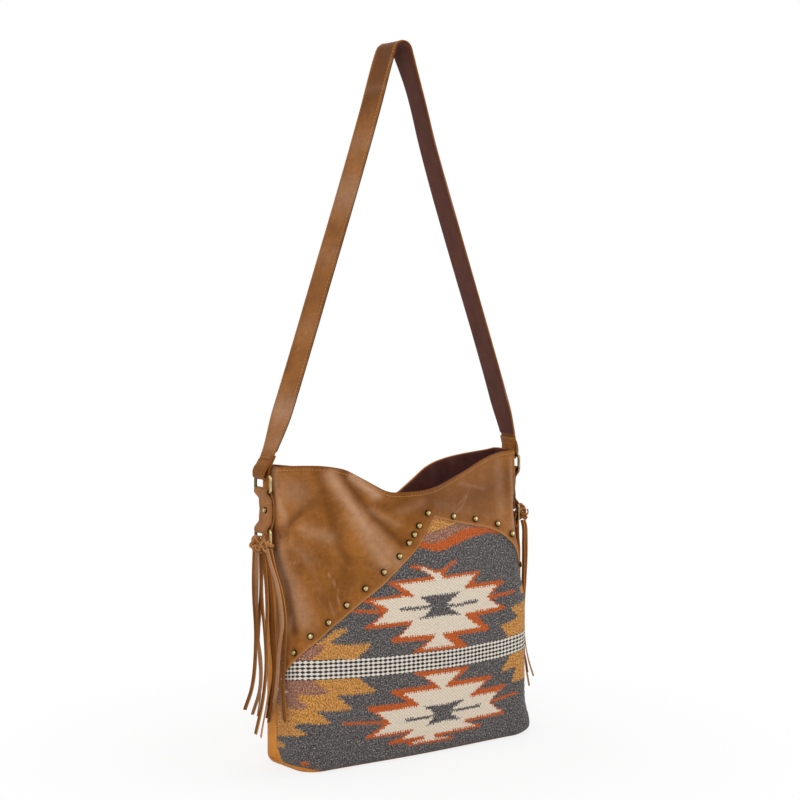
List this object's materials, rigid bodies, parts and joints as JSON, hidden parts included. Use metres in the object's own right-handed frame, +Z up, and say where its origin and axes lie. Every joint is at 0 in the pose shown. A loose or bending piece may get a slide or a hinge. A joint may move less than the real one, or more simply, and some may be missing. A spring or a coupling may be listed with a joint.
{
  "type": "shoulder bag",
  "caption": "Soft leather and woven wool shoulder bag with an open top, a long strap on brass rings, domed rivets and a leather tassel at each side.",
  "frame": {"origin": "centre of the whole bag's box, on the floor", "axes": "+Z up along the strap, the woven front faces -Y, the tabs and tassels are at -X and +X"},
  "size_m": [0.3719, 0.101, 0.7985],
  "materials": {
    "tan_leather": "waxed tan leather, soft sheen",
    "golden_leather": "golden tan leather, soft sheen",
    "kilim_wool": "flat-woven wool, matt",
    "lining_cloth": "dark burgundy cloth",
    "strap_backing": "dark lining leather",
    "antique_brass": "aged brass, polished on its high points"
  },
  "bodies": {
    "bag": {"front_wool": "kilim_wool", "front_yoke": "tan_leather", "back_panel": "golden_leather", "base_panel": "golden_leather", "lining": "lining_cloth", "yoke_rivet_01": "antique_brass", "yoke_rivet_02": "antique_brass", "yoke_rivet_03": "antique_brass", "yoke_rivet_04": "antique_brass", "yoke_rivet_05": "antique_brass", "yoke_rivet_06": "antique_brass", "yoke_rivet_07": "antique_brass", "yoke_rivet_08": "antique_brass", "yoke_rivet_09": "antique_brass", "yoke_rivet_10": "antique_brass", "yoke_rivet_11": "antique_brass", "yoke_rivet_12": "antique_brass", "yoke_rivet_13": "antique_brass", "yoke_rivet_14": "antique_brass", "yoke_rivet_15": "antique_brass", "yoke_rivet_16": "antique_brass", "yoke_rivet_17": "antique_brass", "left_tab": "tan_leather", "right_tab": "tan_leather", "left_tab_rivet": "antique_brass", "right_tab_rivet": "antique_brass"},
    "left_upper_ring": {"left_upper_ring": "antique_brass"},
    "right_upper_ring": {"right_upper_ring": "antique_brass"},
    "strap": {"strap_leather": "tan_leather", "strap_backing": "strap_backing"},
    "left_tassel": {"left_lower_ring": "antique_brass", "left_tassel_lace_1": "tan_leather", "left_tassel_lace_2": "tan_leather", "left_tassel_lace_3": "tan_leather", "left_tassel_lace_4": "tan_leather", "left_tassel_lace_5": "tan_leather"},
    "right_tassel": {"right_lower_ring": "antique_brass", "right_tassel_lace_1": "tan_leather", "right_tassel_lace_2": "tan_leather", "right_tassel_lace_3": "tan_leather", "right_tassel_lace_4": "tan_leather", "right_tassel_lace_5": "tan_leather"}
  },
  "joints": [
    {"name": "left_ring_pivot", "type": "hinge", "parent": "bag", "child": "left_upper_ring", "pos_m": [-0.1747, 0.01, 0.3064], "axis": [0, 1, 0], "range_deg": [-8, 8]},
    {"name": "right_ring_pivot", "type": "hinge", "parent": "bag", "child": "right_upper_ring", "pos_m": [0.1747, 0.01, 0.3064], "axis": [0, 1, 0], "range_deg": [-8, 8]},
    {"name": "strap_pivot", "type": "hinge", "parent": "left_upper_ring", "child": "strap", "pos_m": [-0.1747, 0.01, 0.3234], "axis": [0, 1, 0], "range_deg": [-8, 8]},
    {"name": "left_tassel_swing", "type": "hinge", "parent": "bag", "child": "left_tassel", "pos_m": [-0.1747, 0.01, 0.2644], "axis": [0, 1, 0], "range_deg": [0, 75]},
    {"name": "right_tassel_swing", "type": "hinge", "parent": "bag", "child": "right_tassel", "pos_m": [0.1747, 0.01, 0.2644], "axis": [0, -1, 0], "range_deg": [0, 75]}
  ],
  "couplings": [
    {"joint": "left_ring_pivot", "follows": "strap_pivot", "ratio": -1},
    {"joint": "right_ring_pivot", "follows": "strap_pivot", "ratio": -1}
  ]
}
